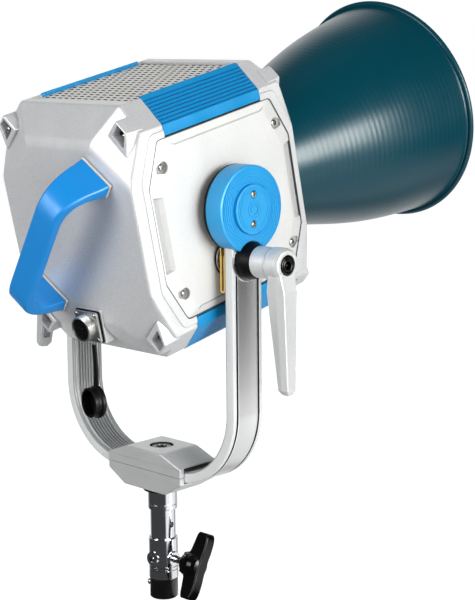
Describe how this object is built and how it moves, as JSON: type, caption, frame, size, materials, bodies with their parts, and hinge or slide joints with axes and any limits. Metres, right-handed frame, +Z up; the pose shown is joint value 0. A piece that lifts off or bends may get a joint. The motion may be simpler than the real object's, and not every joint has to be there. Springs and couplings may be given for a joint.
{
  "type": "studio spotlight",
  "caption": "LED studio spotlight head with a deep bell reflector, tilting in a U yoke with two lock levers, on a panning spigot in a stand socket.",
  "frame": {"origin": "on the pan axis, at the centre of the stand tube's flat bottom face", "axes": "+Z up along the pan axis, +Y the way the beam points before tilting, +X towards the operator's right"},
  "size_m": [0.3904, 0.6059, 0.6633],
  "materials": {
    "silver_paint": "die-cast, satin silver paint",
    "panel_paint": "die-cast, satin light grey paint",
    "blue_rail": "blue anodised, fine",
    "blue_coat": "die-cast, satin blue coat",
    "yoke_aluminium": "satin anodised",
    "diecast": "satin",
    "black_plastic": "fine grain",
    "black_rubber": "matt",
    "black_tube": "gloss",
    "chrome": "polished",
    "brass": "satin",
    "steel": "brushed",
    "teal_spun": "spun, satin teal coat",
    "mesh_metal": "matt",
    "led_phosphor": "matt",
    "glass": "clear",
    "circuit_board": "satin"
  },
  "bodies": {
    "stand": {"stand_tube": "black_tube", "stand_socket": "chrome", "tube_rivet": "steel"},
    "wing_screw": {"wing_screw_shank": "chrome", "wing_screw_grip": "black_plastic"},
    "yoke": {"junior_spigot": "chrome", "block_washer": "black_rubber", "block_upper": "yoke_aluminium", "block_lower": "yoke_aluminium", "block_bolt": "black_plastic", "yoke_bar": "yoke_aluminium", "hub_cap_right": "blue_coat", "hub_cap_left": "blue_coat", "hub_screw_upper_right": "steel", "hub_screw_upper_left": "steel", "hub_screw_lower_right": "steel", "hub_screw_lower_left": "steel", "brake_caliper_right": "brass", "brake_caliper_left": "brass", "lock_bolt_right": "steel", "lock_bolt_left": "steel", "lock_washer_right": "black_plastic", "lock_washer_left": "black_plastic"},
    "head": {"rear_cover": "silver_paint", "front_cover": "silver_paint", "side_panel_right": "panel_paint", "side_panel_left": "panel_paint", "rail_top_right": "blue_rail", "rail_top_left": "blue_rail", "rail_bottom_right": "blue_rail", "rail_bottom_left": "blue_rail", "grille_top": "mesh_metal", "grille_bottom": "mesh_metal", "carry_handle": "blue_coat", "handle_pad_upper": "silver_paint", "handle_pad_lower": "silver_paint", "connector_gasket": "black_rubber", "connector_socket": "steel", "connector_insert": "black_plastic", "pivot_shaft_right": "steel", "pivot_shaft_left": "steel", "brake_disc_right": "black_plastic", "brake_disc_left": "black_plastic", "chassis": "steel", "heat_sink": "yoke_aluminium", "led_module": "led_phosphor", "fan_frame": "black_plastic", "control_board": "circuit_board", "mount_ring": "steel", "cover_glass": "glass"},
    "lock_hub_right": {"clamp_nut_right": "diecast", "lever_cap_screw_right": "black_plastic"},
    "lock_hub_left": {"clamp_nut_left": "diecast", "lever_cap_screw_left": "black_plastic"},
    "lever_right": {"lock_lever_right": "diecast"},
    "lever_left": {"lock_lever_left": "diecast"},
    "fan_rotor": {"fan_rotor": "black_plastic"},
    "reflector": {"reflector": "teal_spun"},
    "mount_latch": {"mount_latch": "black_plastic"},
    "connector_cap": {"connector_cap": "black_rubber"}
  },
  "joints": [
    {"name": "wing_screw_turn", "type": "hinge", "parent": "stand", "child": "wing_screw", "pos_m": [0.04, 0, 0.047], "axis": [1, 0, 0], "range_deg": [-20, 700]},
    {"name": "pan", "type": "hinge", "parent": "stand", "child": "yoke", "pos_m": [0, 0, 0.05], "axis": [0, 0, 1], "continuous": true},
    {"name": "tilt", "type": "hinge", "parent": "yoke", "child": "head", "pos_m": [0, 0, 0.45], "axis": [1, 0, 0], "range_deg": [-68, 77]},
    {"name": "lock_turn_right", "type": "hinge", "parent": "yoke", "child": "lock_hub_right", "pos_m": [0.17, 0, 0.3968], "axis": [1, 0, 0], "range_deg": [-30, 330]},
    {"name": "lock_turn_left", "type": "hinge", "parent": "yoke", "child": "lock_hub_left", "pos_m": [-0.17, 0, 0.3968], "axis": [-1, 0, 0], "range_deg": [-30, 330]},
    {"name": "lock_lift_right", "type": "slide", "parent": "lock_hub_right", "child": "lever_right", "axis": [1, 0, 0], "range_m": [0, 0.004]},
    {"name": "lock_lift_left", "type": "slide", "parent": "lock_hub_left", "child": "lever_left", "axis": [-1, 0, 0], "range_m": [0, 0.004]},
    {"name": "fan_spin", "type": "hinge", "parent": "head", "child": "fan_rotor", "pos_m": [0, -0.00403, 0.44503], "axis": [0, 0.977, 0.213], "continuous": true},
    {"name": "reflector_twist", "type": "hinge", "parent": "head", "child": "reflector", "pos_m": [0, 0.12812, 0.47261], "axis": [0, 0.977, 0.213], "range_deg": [0, 30]},
    {"name": "latch_slide", "type": "slide", "parent": "head", "child": "mount_latch", "axis": [0, 0.213, -0.977], "range_m": [0, 0.004]},
    {"name": "cap_swing", "type": "hinge", "parent": "head", "child": "connector_cap", "pos_m": [0.0035, -0.0978, 0.3055], "axis": [1, 0, 0], "range_deg": [-75, 10]}
  ]
}
